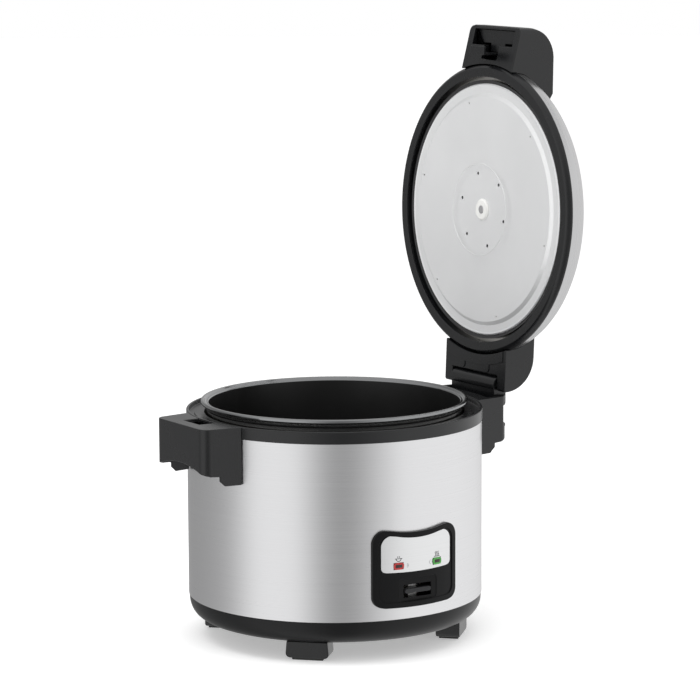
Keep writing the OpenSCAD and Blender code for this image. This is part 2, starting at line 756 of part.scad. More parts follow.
module lid_liner() {
    r = face_in_r;
    t = lid_sheet_t;
    color("#b9bbbe") at_open() difference() {
        rotate_extrude($fn = 180) polygon([
            [0, liner_top_z], [plate_r - 6, liner_top_z], [plate_r, liner_step_z], [r, liner_step_z],
            [r, liner_step_z - t], [plate_r - 0.5, liner_step_z - t], [plate_r - 6.5, liner_top_z - t],
            [0, liner_top_z - t]
        ]);
        translate([0, 0, liner_top_z - 5]) cylinder(d = 6, h = 10, $fn = 32);
        translate([steam_x, 0, liner_top_z - 5]) cylinder(r = steam_r - 4, h = 10);
    }
}

module lid_gasket() {
    crest_r = lip_r - 2.2;
    color("#3a3b3d") at_open() rotate_extrude($fn = 180) polygon([
        [plate_r, seal_z + 1.6], [crest_r - 0.8, seal_z + 0.4], [crest_r, seal_z], [crest_r + 0.3, seal_z + 1],
        [plate_r + 2, seal_z + 5.4], [plate_r, seal_z + 5.4]
    ]);
}

module plate_stud() {
    color("#c8cacc") at_open() {
        translate([0, 0, plate_face_z - 3.2]) cylinder(r = stud_r, h = liner_top_z - lid_sheet_t - plate_face_z + 3.2);
        translate([0, 0, liner_top_z - lid_sheet_t - 2]) cylinder(r = stud_r + 5, h = 2);
        translate([0, 0, liner_top_z - lid_sheet_t]) cylinder(d = 6, h = 5, $fn = 32);
    }
}

// Side view of the latch block: a sloping underside and a rounded outer shoulder
module latch_profile() {
    polygon(concat([[-body_r + 9, face_z], [latch_x + 2, latch_low_z]],
        [[latch_x, latch_low_z + 3]], arc([latch_x + 41, dome_z + dome_h - 38], 41, 185, 95, 12),
        [[-body_r + 35, dome_z + dome_h + 4], [-body_r + 60, dome_z + dome_h - 10], [-body_r + 60, face_z]]));
}

module latch_block() {
    bay_w = 94;
    color("#27282b") at_open() difference() {
        translate([0, latch_half_w, 0]) rotate([90, 0, 0]) linear_extrude(2 * latch_half_w) latch_profile();
        rotate_extrude($fn = 180) dome_section(0.1);
        translate([0, 0, face_z - 60]) cylinder(r = body_r + 0.9, h = dome_z - face_z + 60, $fn = 180);
        // bay of the slide
        translate([latch_x + 4, -bay_w / 2, latch_bay_z - 2]) cube([latch_reach - 7, bay_w, 14]);
        // window under the finger plate
        translate([window_x - window_w / 2, -46, latch_low_z - 12]) cube([window_w, 92, 30]);
        // way out for the hook
        translate([hook_x - hook_catch - 2, -hook_l / 2 - 1.5, face_z - 5])
            cube([hook_catch + hook_t + latch_travel + 3, hook_l + 3, 30]);
        // rounded corners of the outer end
        for (k = [-1, 1]) translate([latch_x, k * latch_half_w, 0]) difference() {
            translate([-eps, -9 + (k < 0 ? 9 - eps : 0), 0]) cube([9 + eps, 9 + eps, 900]);
            translate([9, -9 * k, -1]) cylinder(r = 9, h = 902, $fn = 48);
        }
    }
}

module latch_button() {
    z = latch_bay_z;
    plate_w = window_w - 3;
    color("#2f3033") at_open() {
        translate([window_x - plate_w / 2 - 1, -45, z]) cube([plate_w, 90, 3]);
        translate([window_x, -hook_l / 2, z]) cube([hook_x - 0.5 - window_x, hook_l, 3]);
    }
}

module latch_hook() {
    z = latch_bay_z + 3;
    color("#b8babd") at_open() {
        translate([window_x + 4, -hook_l / 2 + 2, z]) cube([hook_x - window_x - 4 + hook_t, hook_l - 4, 2]);
        translate([hook_x, -hook_l / 2, hook_tip_z]) cube([hook_t, hook_l, z - hook_tip_z + 0.5]);
        translate([hook_x - hook_catch, -hook_l / 2, hook_tip_z]) cube([hook_catch, hook_l, 3.5]);
    }
}

module latch_spring() {
    wire_r = 0.5;
    from = hook_x + hook_t + 0.1;
    to = latch_x + latch_reach - 3 - 0.1;
    color("#d0d2d5") at_open() translate([from, 0, latch_bay_z + 6]) rotate([0, 90, 0])
        coil(2.5, wire_r, to - from - 2 * wire_r, 4);
}

// Side view of the hinge block: a flat underside and a round outer shoulder
module hinge_profile(inset) {
    c = [body_r, face_z + 2];
    r = hinge_x + 7.5 - body_r - inset;
    polygon(concat([[body_r - 40, face_z + inset], [hinge_x + 5 - inset, face_z + inset]],
        arc(c, r, 0, 90, 12), [[body_r - 40, c.y + r]]));
}

module hinge_block() {
    free = barrel_l / 2 + 2.5;
    bay = 80;
    color("#27282b") at_open() difference() {
        translate([0, hinge_half_w, 0]) rotate([90, 0, 0]) linear_extrude(2 * hinge_half_w) hinge_profile(0);
        rotate_extrude($fn = 180) dome_section(0.1);
        translate([0, 0, face_z - 60]) cylinder(r = body_r + 0.9, h = dome_z - face_z + 60, $fn = 180);
        // room for the barrel
        translate([hinge_x, free, hinge_z]) rotate([90, 0, 0]) cylinder(d = barrel_d + 4, h = 2 * free);
        translate([hinge_x - barrel_d / 2 - 2, -free, face_z - 20]) cube([60, 2 * free, hinge_z - face_z + 20]);
        // bore of the pin
        translate([hinge_x, hinge_half_w - 4.5, hinge_z]) rotate([90, 0, 0])
            cylinder(r = hinge_pin_d / 2 + run_gap, h = 2 * (hinge_half_w - 4.5));
        // hollow behind the cover
        translate([body_r + 4, -bay / 2, face_z - eps]) cube([7, bay, hinge_z - face_z + 14]);
    }
}

module hinge_cover() {
    edge_r = body_r + 15;
    tab_w = 10;
    half = hinge_half_w - 6;
    color("#27282b") at_open() translate([0, 0, face_z - 1]) linear_extrude(1) {
        difference() {
            intersection() {
                circle(r = edge_r, $fn = 180);
                translate([0, -half]) square([2 * body_r, 2 * half]);
            }
            circle(r = body_r + 1, $fn = 180);
        }
        for (k = [-1, 1]) translate([0, k * 0.44 * half]) {
            translate([edge_r - 6, -tab_w / 2]) square([9, tab_w]);
            translate([edge_r + 3, 0]) circle(d = tab_w, $fn = 32);
        }
    }
}

module steam_seat() {
    top = dome_z + dome_h - 1;
    color("#27282b") at_open() translate([steam_x, 0, 0]) difference() {
        translate([0, 0, liner_top_z]) cylinder(r = steam_r - 0.2, h = top + 2 - liner_top_z);
        translate([0, 0, liner_top_z - 1]) cylinder(r = steam_r - 4, h = top + 5 - liner_top_z);
    }
}

module steam_cap() {
    low = dome_z + dome_h + 1.3;
    in_r = steam_r - 4 - 0.08;
    color("#2b2c2f") at_open() translate([steam_x, 0, 0]) difference() {
        union() {
            translate([0, 0, low]) rotate_extrude() polygon([[0, 0], [steam_r + 9, 0], [steam_r + 9, 3],
                [steam_r + 6, 7], [0, 8]]);
            translate([0, 0, low - 10]) cylinder(r = in_r, h = 10 + eps);
        }
        translate([0, 0, low - 11]) cylinder(r = in_r - 2.5, h = 15);
        for (k = [0:2]) rotate(60 * k) translate([-2, -1.2, low + 1]) cube([4, 2.4, 12]);
    }
}

module inner_plate() {
    t = lid_sheet_t;
    color("#e6e7e8") at_open() difference() {
        rotate_extrude($fn = 180) polygon([
            [0, plate_face_z], [plate_step_r, plate_face_z], [plate_step_r + 5, plate_z - 0.6],
            [plate_r - 4, plate_z - 0.6], [plate_r - 1.5, plate_z - 1.2], [plate_r, plate_z], [plate_r, plate_z + 5],
            [plate_r - t, plate_z + 5], [plate_r - t, plate_z + 0.4], [plate_step_r + 5, plate_z - 0.6 + t],
            [plate_step_r, plate_face_z + t], [0, plate_face_z + t]
        ]);
        cylinder(r = stud_r + 3.5, h = 900);
        for (i = [0:5]) rotate(180 - 16 + 60 * i) {
            translate([50, 0, plate_face_z - 5]) cylinder(d = 4.4, h = 10, $fn = 32);
            translate([plate_step_r - 5, 0, plate_face_z - 5]) cylinder(d = 2.4, h = 10, $fn = 24);
        }
    }
}

module plate_grommet() {
    t = lid_sheet_t;
    color("#f2f2f0") at_open() rotate_extrude() polygon([
        [stud_r + 0.06, plate_face_z - 2.8], [stud_r + 7, plate_face_z - 2.8], [stud_r + 9, plate_face_z - 1],
        [stud_r + 9, plate_face_z], [stud_r + 3.5, plate_face_z], [stud_r + 3.5, plate_face_z + t],
        [stud_r + 8, plate_face_z + t], [stud_r + 7, plate_face_z + t + 3], [stud_r + 0.06, plate_face_z + t + 3]
    ]);
}

feet();
foot_pads();
foot_screws();
base_pan();
outer_shell();
top_ring();
carry_handle();
hinge_bracket();
hinge_pin();
inner_liner();
liner_floor();
heating_plate();
heating_element();
plate_posts();
thermostat_cup();
thermostat_head();
thermostat_spring();
keep_warm_band();
lever_bracket();
lever_pin();
lever_arm();
lever_magnet();
cook_paddle();
microswitch();
terminal_block();
thermal_fuse();
wiring();
inlet_surround();
power_inlet();
inlet_pins();
control_bezel();
label_plate();
lamp_cook();
lamp_warm();
inner_pot();
lid_dome();
lid_ring();
lid_liner();
lid_gasket();
plate_stud();
latch_block();
latch_button();
latch_hook();
latch_spring();
hinge_block();
hinge_cover();
steam_seat();
steam_cap();
inner_plate();
plate_grommet();
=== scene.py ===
"""The looks of the catering rice cooker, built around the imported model."""

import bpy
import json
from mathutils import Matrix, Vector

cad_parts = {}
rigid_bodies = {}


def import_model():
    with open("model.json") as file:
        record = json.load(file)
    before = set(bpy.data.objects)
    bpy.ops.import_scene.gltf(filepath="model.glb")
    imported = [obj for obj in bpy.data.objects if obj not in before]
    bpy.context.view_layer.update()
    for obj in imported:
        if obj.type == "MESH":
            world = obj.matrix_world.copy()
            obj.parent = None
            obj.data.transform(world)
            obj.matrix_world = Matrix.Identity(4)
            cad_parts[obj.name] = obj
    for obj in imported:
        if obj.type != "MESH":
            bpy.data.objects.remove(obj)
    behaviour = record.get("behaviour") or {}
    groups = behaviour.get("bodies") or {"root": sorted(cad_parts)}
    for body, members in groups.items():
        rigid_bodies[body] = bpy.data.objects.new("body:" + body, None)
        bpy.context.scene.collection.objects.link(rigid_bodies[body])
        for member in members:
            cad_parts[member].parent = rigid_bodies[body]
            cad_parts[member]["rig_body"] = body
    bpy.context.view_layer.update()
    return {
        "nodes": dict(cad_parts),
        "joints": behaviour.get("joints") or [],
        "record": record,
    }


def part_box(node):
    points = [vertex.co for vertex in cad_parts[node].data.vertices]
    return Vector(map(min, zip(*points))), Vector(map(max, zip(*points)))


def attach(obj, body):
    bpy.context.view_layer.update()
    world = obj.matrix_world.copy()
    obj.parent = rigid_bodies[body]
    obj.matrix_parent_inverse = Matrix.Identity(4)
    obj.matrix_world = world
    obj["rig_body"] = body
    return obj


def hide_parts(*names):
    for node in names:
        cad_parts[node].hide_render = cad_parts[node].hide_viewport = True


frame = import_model()

import json
import math

import bmesh
import bpy
from mathutils import Matrix, Vector

NODES = frame["nodes"]
MM = 0.001

# The lid's hinge, and the turn from the closed lid to the open one
hinge = next(joint for joint in frame["joints"] if joint["name"] == "lid_hinge")
HINGE = Vector(hinge["pos_m"])
OPEN = math.radians(-hinge["range_deg"][0])
TO_OPEN = Matrix.Translation(HINGE) @ Matrix.Rotation(OPEN, 4, "Y") @ Matrix.Translation(-HINGE)
TO_CLOSED = TO_OPEN.inverted()


# ---------- camera, floor and lights ----------

# The photograph's viewing angle; the distance is in metres, the lens and its sensor in millimetres
AZIMUTH = math.radians(-32.9)
ELEVATION = math.radians(8.72)
ROLL = math.radians(-0.26)
DISTANCE = 4.3235
LENS = 167.7
SENSOR_WIDTH = 36
CLIP_END = 50
AIM = Vector((0.0289, 0.0060, 0.3750))


def add_camera():
    """Puts the camera on its sight line to AIM."""
    back = Vector((
        math.sin(AZIMUTH) * math.cos(ELEVATION),
        -math.cos(AZIMUTH) * math.cos(ELEVATION),
        math.sin(ELEVATION),
    ))
    right = Vector((math.cos(AZIMUTH), math.sin(AZIMUTH), 0))
    up = back.cross(right)
    turned_right = right * math.cos(ROLL) + up * math.sin(ROLL)
    turned_up = back.cross(turned_right)
    data = bpy.data.cameras.new("camera")
    data.lens = LENS
    data.sensor_width = SENSOR_WIDTH
    data.clip_end = CLIP_END
    camera = bpy.data.objects.new("camera", data)
    bpy.context.scene.collection.objects.link(camera)
    turn = Matrix((turned_right, turned_up, back)).transposed().to_4x4()
    camera.matrix_world = Matrix.Translation(AIM + back * DISTANCE) @ turn
    bpy.context.scene.camera = camera


def add_area(name, place, aim, size, power):
    """Adds a soft white light at place, a rectangle turned to aim."""
    data = bpy.data.lights.new(name, "AREA")
    data.shape = "RECTANGLE"
    data.size, data.size_y = size
    data.energy = power
    light = bpy.data.objects.new(name, data)
    bpy.context.scene.collection.objects.link(light)
    light.location = place
    light.rotation_euler = (Vector(aim) - Vector(place)).to_track_quat("-Z", "Y").to_euler()
    light.visible_glossy = False


# Brightness of the studio's walls around the object: degrees about +Z from +X, and strength. The
# stops were set from how bright the photographed shell is in the direction that each
# part of it reflects, so that the steel's bright and dark bands fall where the photo has them.
WALLS = (
    (-180, 1.12), (-167, 1.24), (-154, 1.05), (-142, 0.73), (-130, 0.44), (-118, 0.31),
    (-106, 0.42), (-95, 0.60), (-82, 0.80), (-70, 0.98), (-56, 1.16), (-42, 1.26),
    (-25, 1.08), (0, 0.94), (24, 0.96), (52, 0.62), (75, 0.32), (112, 0.38),
    (134, 0.42), (151, 0.52), (166, 0.86), (180, 1.12),
)
SECOND_RAMP = 11
CEILING = 0.80
WALLS_TOP = 0.35
CEILING_START = 0.9
FLOOR_RADIUS = 14
FLOOR_GLOW = 0.39


def walls_ramp(tree, angle):
    """The walls' brightness against the angle, on a chain of two ramps, since one holds too few stops."""
    total = None
    for first, last in ((0, SECOND_RAMP), (SECOND_RAMP, len(WALLS) - 1)):
        low, high = WALLS[first][0], WALLS[last][0]
        scale = tree.nodes.new("ShaderNodeMapRange")
        scale.inputs["From Min"].default_value = math.radians(low)
        scale.inputs["From Max"].default_value = math.radians(high)
        tree.links.new(angle, scale.inputs["Value"])
        node = tree.nodes.new("ShaderNodeValToRGB")
        node.color_ramp.interpolation = "B_SPLINE"
        stops = node.color_ramp.elements
        stops.remove(stops[1])
        for index in range(first, last + 1):
            position = (WALLS[index][0] - low) / (high - low)
            stop = stops[0] if index == first else stops.new(position)
            stop.position = position
            stop.color = grey(WALLS[index][1])
        tree.links.new(scale.outputs["Result"], node.inputs["Fac"])
        if total is None:
            total = node.outputs["Color"]
            continue
        choose = tree.nodes.new("ShaderNodeMath")
        choose.operation = "GREATER_THAN"
        choose.inputs[1].default_value = math.radians(WALLS[first][0])
        tree.links.new(angle, choose.inputs[0])
        mix = tree.nodes.new("ShaderNodeMixRGB")
        tree.links.new(choose.outputs[0], mix.inputs["Fac"])
        tree.links.new(total, mix.inputs["Color1"])
        tree.links.new(node.outputs["Color"], mix.inputs["Color2"])
        total = mix.outputs["Color"]
    return total


def add_world():
    """White to the camera; to the object, pale walls with softer and brighter stretches."""
    world = bpy.data.worlds.new("studio")
    world.use_nodes = True
    tree = world.node_tree
    lit = tree.nodes["Background"]
    coordinates = tree.nodes.new("ShaderNodeTexCoord")
    parts = tree.nodes.new("ShaderNodeSeparateXYZ")
    tree.links.new(coordinates.outputs["Generated"], parts.inputs[0])
    angle = tree.nodes.new("ShaderNodeMath")
    angle.operation = "ARCTAN2"
    tree.links.new(parts.outputs["Y"], angle.inputs[0])
    tree.links.new(parts.outputs["X"], angle.inputs[1])
    height = tree.nodes.new("ShaderNodeMapRange")
    height.interpolation_type = "SMOOTHSTEP"
    height.inputs["From Min"].default_value = WALLS_TOP
    height.inputs["From Max"].default_value = CEILING_START
    tree.links.new(parts.outputs["Z"], height.inputs["Value"])
    mix = tree.nodes.new("ShaderNodeMixRGB")
    mix.inputs["Color2"].default_value = grey(CEILING)
    tree.links.new(height.outputs["Result"], mix.inputs["Fac"])
    tree.links.new(walls_ramp(tree, angle.outputs[0]), mix.inputs["Color1"])
    tree.links.new(mix.outputs["Color"], lit.inputs["Color"])
    seen = tree.nodes.new("ShaderNodeBackground")
    path = tree.nodes.new("ShaderNodeLightPath")
    choose = tree.nodes.new("ShaderNodeMixShader")
    tree.links.new(path.outputs["Is Camera Ray"], choose.inputs["Fac"])
    tree.links.new(lit.outputs[0], choose.inputs[1])
    tree.links.new(seen.outputs[0], choose.inputs[2])
    seen.inputs["Color"].default_value = grey(1)
    tree.links.new(choose.outputs[0], tree.nodes["World Output"].inputs["Surface"])
    bpy.context.scene.world = world


def add_studio():
    """A pale floor, pale walls, a large soft light above and a small one on the lid."""
    add_world()
    bpy.context.scene.view_settings.view_transform = "Standard"
    bpy.ops.mesh.primitive_circle_add(vertices=96, radius=FLOOR_RADIUS, fill_type="NGON")
    floor = bpy.context.object
    floor.name = "floor"
    paint = plain("floor_paint", (0.90, 0.90, 0.90), 0.7)
    principled = paint.node_tree.nodes["Principled BSDF"]
    principled.inputs["Specular IOR Level"].default_value = 0.1
    principled.inputs["Emission Color"].default_value = grey(1)
    principled.inputs["Emission Strength"].default_value = FLOOR_GLOW
    floor.data.materials.append(paint)
    floor.visible_glossy = False
    add_area("top", (0.1, -0.3, 2.6), (0, 0, 0.2), (2.4, 2.4), 20)
    add_area("lid", (-0.8, 0.3, 1.5), (0.22, 0, 0.7), (0.6, 0.6), 5)


# ---------- materials ----------

def shader(name):
    """A new material, its principled shader and its node tree."""
    material = bpy.data.materials.new(name)
    material.use_nodes = True
    tree = material.node_tree
    return material, tree.nodes["Principled BSDF"], tree


def plain(name, colour, roughness):
    """A material with one colour and no pattern."""
    material, principled, _ = shader(name)
    principled.inputs["Base Color"].default_value = (*colour, 1)
    principled.inputs["Roughness"].default_value = roughness
    return material


def pattern(tree, scale, noise_scale, detail):
    """Noise on the piece's own coordinates, stretched by scale."""
    coordinates = tree.nodes.new("ShaderNodeTexCoord")
    mapping = tree.nodes.new("ShaderNodeMapping")
    mapping.inputs["Scale"].default_value = scale
    noise = tree.nodes.new("ShaderNodeTexNoise")
    noise.inputs["Scale"].default_value = noise_scale
    noise.inputs["Detail"].default_value = detail
    tree.links.new(coordinates.outputs["Object"], mapping.inputs["Vector"])
    tree.links.new(mapping.outputs["Vector"], noise.inputs["Vector"])
    return noise.outputs["Fac"]


def ramp(tree, source, low, high, start=0.3, end=0.7):
    """Turns a noise into a value or a colour between low and high."""
    node = tree.nodes.new("ShaderNodeValToRGB")
    node.color_ramp.elements[0].position = start
    node.color_ramp.elements[1].position = end
    node.color_ramp.elements[0].color = low if len(low) == 4 else (*low, 1)
    node.color_ramp.elements[1].color = high if len(high) == 4 else (*high, 1)
    tree.links.new(source, node.inputs["Fac"])
    return node.outputs["Color"]


def grey(value):
    """An opaque grey."""
    return (value, value, value, 1)


def bump(tree, principled, source, strength, depth):
    """Adds a fine relief to a shader."""
    node = tree.nodes.new("ShaderNodeBump")
    node.inputs["Strength"].default_value = strength
    node.inputs["Distance"].default_value = depth
    tree.links.new(source, node.inputs["Height"])
    tree.links.new(node.outputs["Normal"], principled.inputs["Normal"])


def vary_roughness(tree, principled, source, roughness, low=0.9, high=1.1):
    """Lets the roughness follow a noise between two shares of its value."""
    varied = ramp(tree, source, grey(roughness * low), grey(roughness * high))
    tree.links.new(varied, principled.inputs["Roughness"])


def brush(tree, principled, lines, colour, roughness, dark, relief):
    """Finishes a steel whose brush lines are given: darker and rougher along them, in low relief."""
    low = tuple(c * dark for c in colour)
    tree.links.new(ramp(tree, lines, low, colour, 0.25, 0.7), principled.inputs["Base Color"])
    vary_roughness(tree, principled, lines, roughness)
    principled.inputs["Metallic"].default_value = 1.0
    bump(tree, principled, lines, relief, 0.2 * MM)


def brushed(name, colour, roughness, along=(4, 4, 2600)):
    """Steel with fine brush lines that run around the piece."""
    material, principled, tree = shader(name)
    brush(tree, principled, pattern(tree, along, 1.0, 4.0), colour, roughness, 0.94, 0.04)
    return material


def spun(name, colour, roughness):
    """Steel brushed in circles about the lid's axis."""
    material, principled, tree = shader(name)
    coordinates = tree.nodes.new("ShaderNodeTexCoord")
    closed = tree.nodes.new("ShaderNodeMapping")
    closed.inputs["Rotation"].default_value = (0, -OPEN, 0)
    closed.inputs["Location"].default_value = TO_CLOSED.to_translation()
    tree.links.new(coordinates.outputs["Object"], closed.inputs["Vector"])
    flat = tree.nodes.new("ShaderNodeVectorMath")
    flat.operation = "MULTIPLY"
    flat.inputs[1].default_value = (1, 1, 0)
    tree.links.new(closed.outputs["Vector"], flat.inputs[0])
    radius = tree.nodes.new("ShaderNodeVectorMath")
    radius.operation = "LENGTH"
    tree.links.new(flat.outputs["Vector"], radius.inputs[0])
    around = tree.nodes.new("ShaderNodeVectorMath")
    around.operation = "SCALE"
    around.inputs["Scale"].default_value = 5.0
    tree.links.new(flat.outputs["Vector"], around.inputs[0])
    fine = tree.nodes.new("ShaderNodeMath")
    fine.operation = "MULTIPLY"
    fine.inputs[1].default_value = 2200.0
    tree.links.new(radius.outputs["Value"], fine.inputs[0])
    lines = tree.nodes.new("ShaderNodeTexNoise")
    lines.noise_dimensions = "4D"
    lines.inputs["Scale"].default_value = 1.0
    lines.inputs["Detail"].default_value = 3.0
    tree.links.new(around.outputs["Vector"], lines.inputs["Vector"])
    tree.links.new(fine.outputs[0], lines.inputs["W"])
    brush(tree, principled, lines.outputs["Fac"], colour, roughness, 0.93, 0.03)
    return material


def moulded(name, colour, roughness, grain=900.0, relief=0.18, specular=0.5):
    """Moulded plastic with a fine spark-eroded grain and faint mottling."""
    material, principled, tree = shader(name)
    fine = pattern(tree, (1, 1, 1), grain, 2.0)
    cloud = pattern(tree, (1, 1, 1), 14.0, 3.0)
    light = tuple(c * 1.18 for c in colour)
    tree.links.new(ramp(tree, cloud, colour, light), principled.inputs["Base Color"])
    vary_roughness(tree, principled, cloud, roughness, low=0.93)
    principled.inputs["Specular IOR Level"].default_value = specular
    bump(tree, principled, fine, relief, 0.25 * MM)
    return material


def satin_metal(name, colour, roughness, metallic=1.0, grain=260.0, relief=0.06):
    """Anodised, cast or plated metal with a soft cloudy finish."""
    material, principled, tree = shader(name)
    cloud = pattern(tree, (1, 1, 1), 9.0, 3.0)
    fine = pattern(tree, (1, 1, 1), grain, 3.0)
    dark = tuple(c * 0.95 for c in colour)
    tree.links.new(ramp(tree, cloud, dark, colour), principled.inputs["Base Color"])
    vary_roughness(tree, principled, fine, roughness, high=1.12)
    principled.inputs["Metallic"].default_value = metallic
    bump(tree, principled, fine, relief, 0.3 * MM)
    return material


def lens(name, colour):
    """A tinted lamp window."""
    material, principled, tree = shader(name)
    ripple = pattern(tree, (1, 1, 1), 420.0, 1.0)
    dark = tuple(c * 0.6 for c in colour)
    tree.links.new(ramp(tree, ripple, dark, colour), principled.inputs["Base Color"])
    principled.inputs["Roughness"].default_value = 0.12
    principled.inputs["Coat Weight"].default_value = 0.6
    principled.inputs["Emission Color"].default_value = (*colour, 1)
    principled.inputs["Emission Strength"].default_value = 0.06
    return material


def make_materials():
    """All finishes, by name. Most are the record's slots; the rest are used on parts of a piece."""
    return {
        "dark_moulding": moulded("dark_moulding", (0.0060, 0.0063, 0.0070), 0.27, relief=0.10),
        "base_moulding": moulded("base_moulding", (0.0050, 0.0052, 0.0056), 0.30, specular=0.28),
        "steel": brushed("steel", (0.80, 0.80, 0.81), 0.30),
        "lid_steel": spun("lid_steel", (0.58, 0.58, 0.585), 0.28),
        "sheet": satin_metal("sheet", (0.62, 0.605, 0.575), 0.34),
        "zinc_steel": satin_metal("zinc_steel", (0.62, 0.62, 0.61), 0.38),
        "plate_aluminium": satin_metal("plate_aluminium", (0.92, 0.925, 0.93), 0.36, metallic=0.5),
        "cast_aluminium": satin_metal("cast_aluminium", (0.60, 0.61, 0.62), 0.5, grain=500, relief=0.25),
        "nonstick": moulded("nonstick", (0.006, 0.006, 0.006), 0.30, grain=500, relief=0.08),
        "pot_lip": satin_metal("pot_lip", (0.30, 0.305, 0.31), 0.13, relief=0.01),
        "pot_neck": satin_metal("pot_neck", (0.36, 0.36, 0.355), 0.24, relief=0.01),
        "print": moulded("print", (0.02, 0.02, 0.022), 0.5),
        "lens_centre": moulded("lens_centre", (0.02, 0.012, 0.01), 0.2),
        "rubber": moulded("rubber", (0.03, 0.03, 0.03), 0.75, grain=500),
        "silicone": moulded("silicone", (0.022, 0.022, 0.023), 0.45),
        "white_silicone": moulded("white_silicone", (0.78, 0.78, 0.76), 0.45, relief=0.08),
        "spring_steel": satin_metal("spring_steel", (0.82, 0.82, 0.83), 0.16),
        "magnet": satin_metal("magnet", (0.14, 0.14, 0.15), 0.5, grain=500),
        "element": satin_metal("element", (0.22, 0.20, 0.19), 0.55),
        "brass": satin_metal("brass", (0.78, 0.60, 0.28), 0.24),
        "ceramic": moulded("ceramic", (0.80, 0.78, 0.72), 0.55),
        "mica": moulded("mica", (0.50, 0.40, 0.22), 0.45, grain=60),
        "switch_plastic": moulded("switch_plastic", (0.03, 0.03, 0.033), 0.5),
        "cable": moulded("cable", (0.42, 0.05, 0.04), 0.35),
        "panel_plastic": moulded("panel_plastic", (0.0035, 0.0036, 0.004), 0.30, specular=0.16),
        "label": brushed("label", (0.84, 0.845, 0.85), 0.34, along=(4, 4, 900)),
        "red_lens": lens("red_lens", (0.46, 0.008, 0.008)),
        "green_lens": lens("green_lens", (0.05, 0.36, 0.04)),
        "lever_plastic": moulded("lever_plastic", (0.018, 0.0185, 0.020), 0.36, specular=0.3),
    }


FINISHES = make_materials()
SLOT_OF = {entry["node"]: entry["material_slot"] for entry in frame["record"]["subparts"]}
BODY_OF = {name: node["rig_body"] for name, node in NODES.items()}


def shade(data, sharp):
    """Smooth shading with the corners over sharp degrees kept."""
    for face in data.polygons:
        face.use_smooth = True
    data.set_sharp_from_angle(angle=math.radians(sharp))


def finish_nodes():
    """Gives every CAD node its finish and smooth shading on its round faces."""
    for name, node in NODES.items():
        node.data.materials.clear()
        key = "lid_steel" if name == "lid_dome" else SLOT_OF[name]
        node.data.materials.append(FINISHES[key])
        shade(node.data, 24)


# ---------- pieces with soft edges ----------

MERGE_DISTANCE = 0.002 * MM
FLAT_ANGLE = math.radians(0.5)


def copy_of(name):
    """A copy of a CAD node, merged, with its flat parts joined."""
    mesh = bmesh.new()
    mesh.from_mesh(NODES[name].data)
    bmesh.ops.remove_doubles(mesh, verts=mesh.verts, dist=MERGE_DISTANCE)
    bmesh.ops.dissolve_limit(mesh, angle_limit=FLAT_ANGLE, verts=mesh.verts, edges=mesh.edges)
    return mesh


def bevel(mesh, edges, width, segments=3, clamp=True):
    """Rounds edges of a bmesh by width."""
    bmesh.ops.bevel(
        mesh, geom=edges, offset=width, offset_type="OFFSET", affect="EDGES",
        segments=segments, profile=0.5, material=-1, clamp_overlap=clamp,
    )


def soften(mesh, width, steep=32, clamp=False):
    """Rounds the edges steeper than steep degrees."""
    edges = [edge for edge in mesh.edges if edge.calc_face_angle(0) > math.radians(steep)]
    bevel(mesh, edges, width, clamp=clamp)


def add_piece(name, mesh, body, finishes, replaced=(), sharp=40, weighted=False):
    """Makes an object of a bmesh and puts it on its body."""
    data = bpy.data.meshes.new(name)
    mesh.to_mesh(data)
    mesh.free()
    piece = bpy.data.objects.new(name, data)
    bpy.context.scene.collection.objects.link(piece)
    for finish in finishes:
        data.materials.append(FINISHES[finish])
    shade(data, sharp)
    if weighted:
        piece.modifiers.new("weighted", "WEIGHTED_NORMAL").keep_sharp = True
    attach(piece, body)
    if replaced:
        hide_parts(*replaced)
    return piece


# Mouldings and the radius of their edges in millimetres
SOFT = {
    "carry_handle": 1.2, "hinge_bracket": 0.9, "top_ring": 0.6, "latch_block": 1.2, "hinge_block": 1.2,
    "hinge_cover": 0.35, "lid_ring": 0.7, "control_bezel": 0.6, "cook_paddle": 0.5, "latch_button": 0.6,
    "latch_hook": 0.7, "feet": 1.5, "foot_pads": 0.8, "inlet_surround": 1.2, "power_inlet": 0.6,
    "steam_cap": 0.6, "plate_grommet": 0.4, "plate_stud": 0.8, "base_pan": 0.5,
}


def add_soft_mouldings():
    """Replaces each moulding with a copy that has soft edges."""
    for name, width in SOFT.items():
        mesh = copy_of(name)
        soften(mesh, width * MM)
        add_piece(
            name + "_soft", mesh, BODY_OF[name],
            ["base_moulding" if name == "base_pan" else SLOT_OF[name]], [name], weighted=True,
        )


# ---------- pot and liner ----------

# How far the lip's finish reaches in from the pot's edge and down from its top, how wide the
# bare band outside is, and how thick the part of the liner is that shows beside the pot, painted black as
# shade
LIP_WIDTH = 14.2 * MM
LIP_DEPTH = 5.2 * MM
BARE_WIDTH = 8.5 * MM
SHADED_FLANGE_DEPTH = 3 * MM


def add_pot():
    """The pot: black non-stick inside, dark satin lip and bare metal outside."""
    mesh = copy_of("inner_pot")
    lip_r, _, lip_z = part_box("inner_pot")[1]
    for face in mesh.faces:
        centre = face.calc_center_median()
        radius = math.hypot(centre.x, centre.y)
        outwards = face.normal.x * centre.x + face.normal.y * centre.y > 0
        if centre.z > lip_z - LIP_DEPTH and radius > lip_r - LIP_WIDTH:
            face.material_index = 1
        elif radius > lip_r - BARE_WIDTH or face.normal.z < -0.5 or outwards:
            face.material_index = 2
    soften(mesh, 0.6 * MM, steep=28, clamp=True)
    finishes = ["nonstick", "pot_lip", "pot_neck"]
    add_piece("pot_finished", mesh, "pot", finishes, ["inner_pot"], sharp=50)


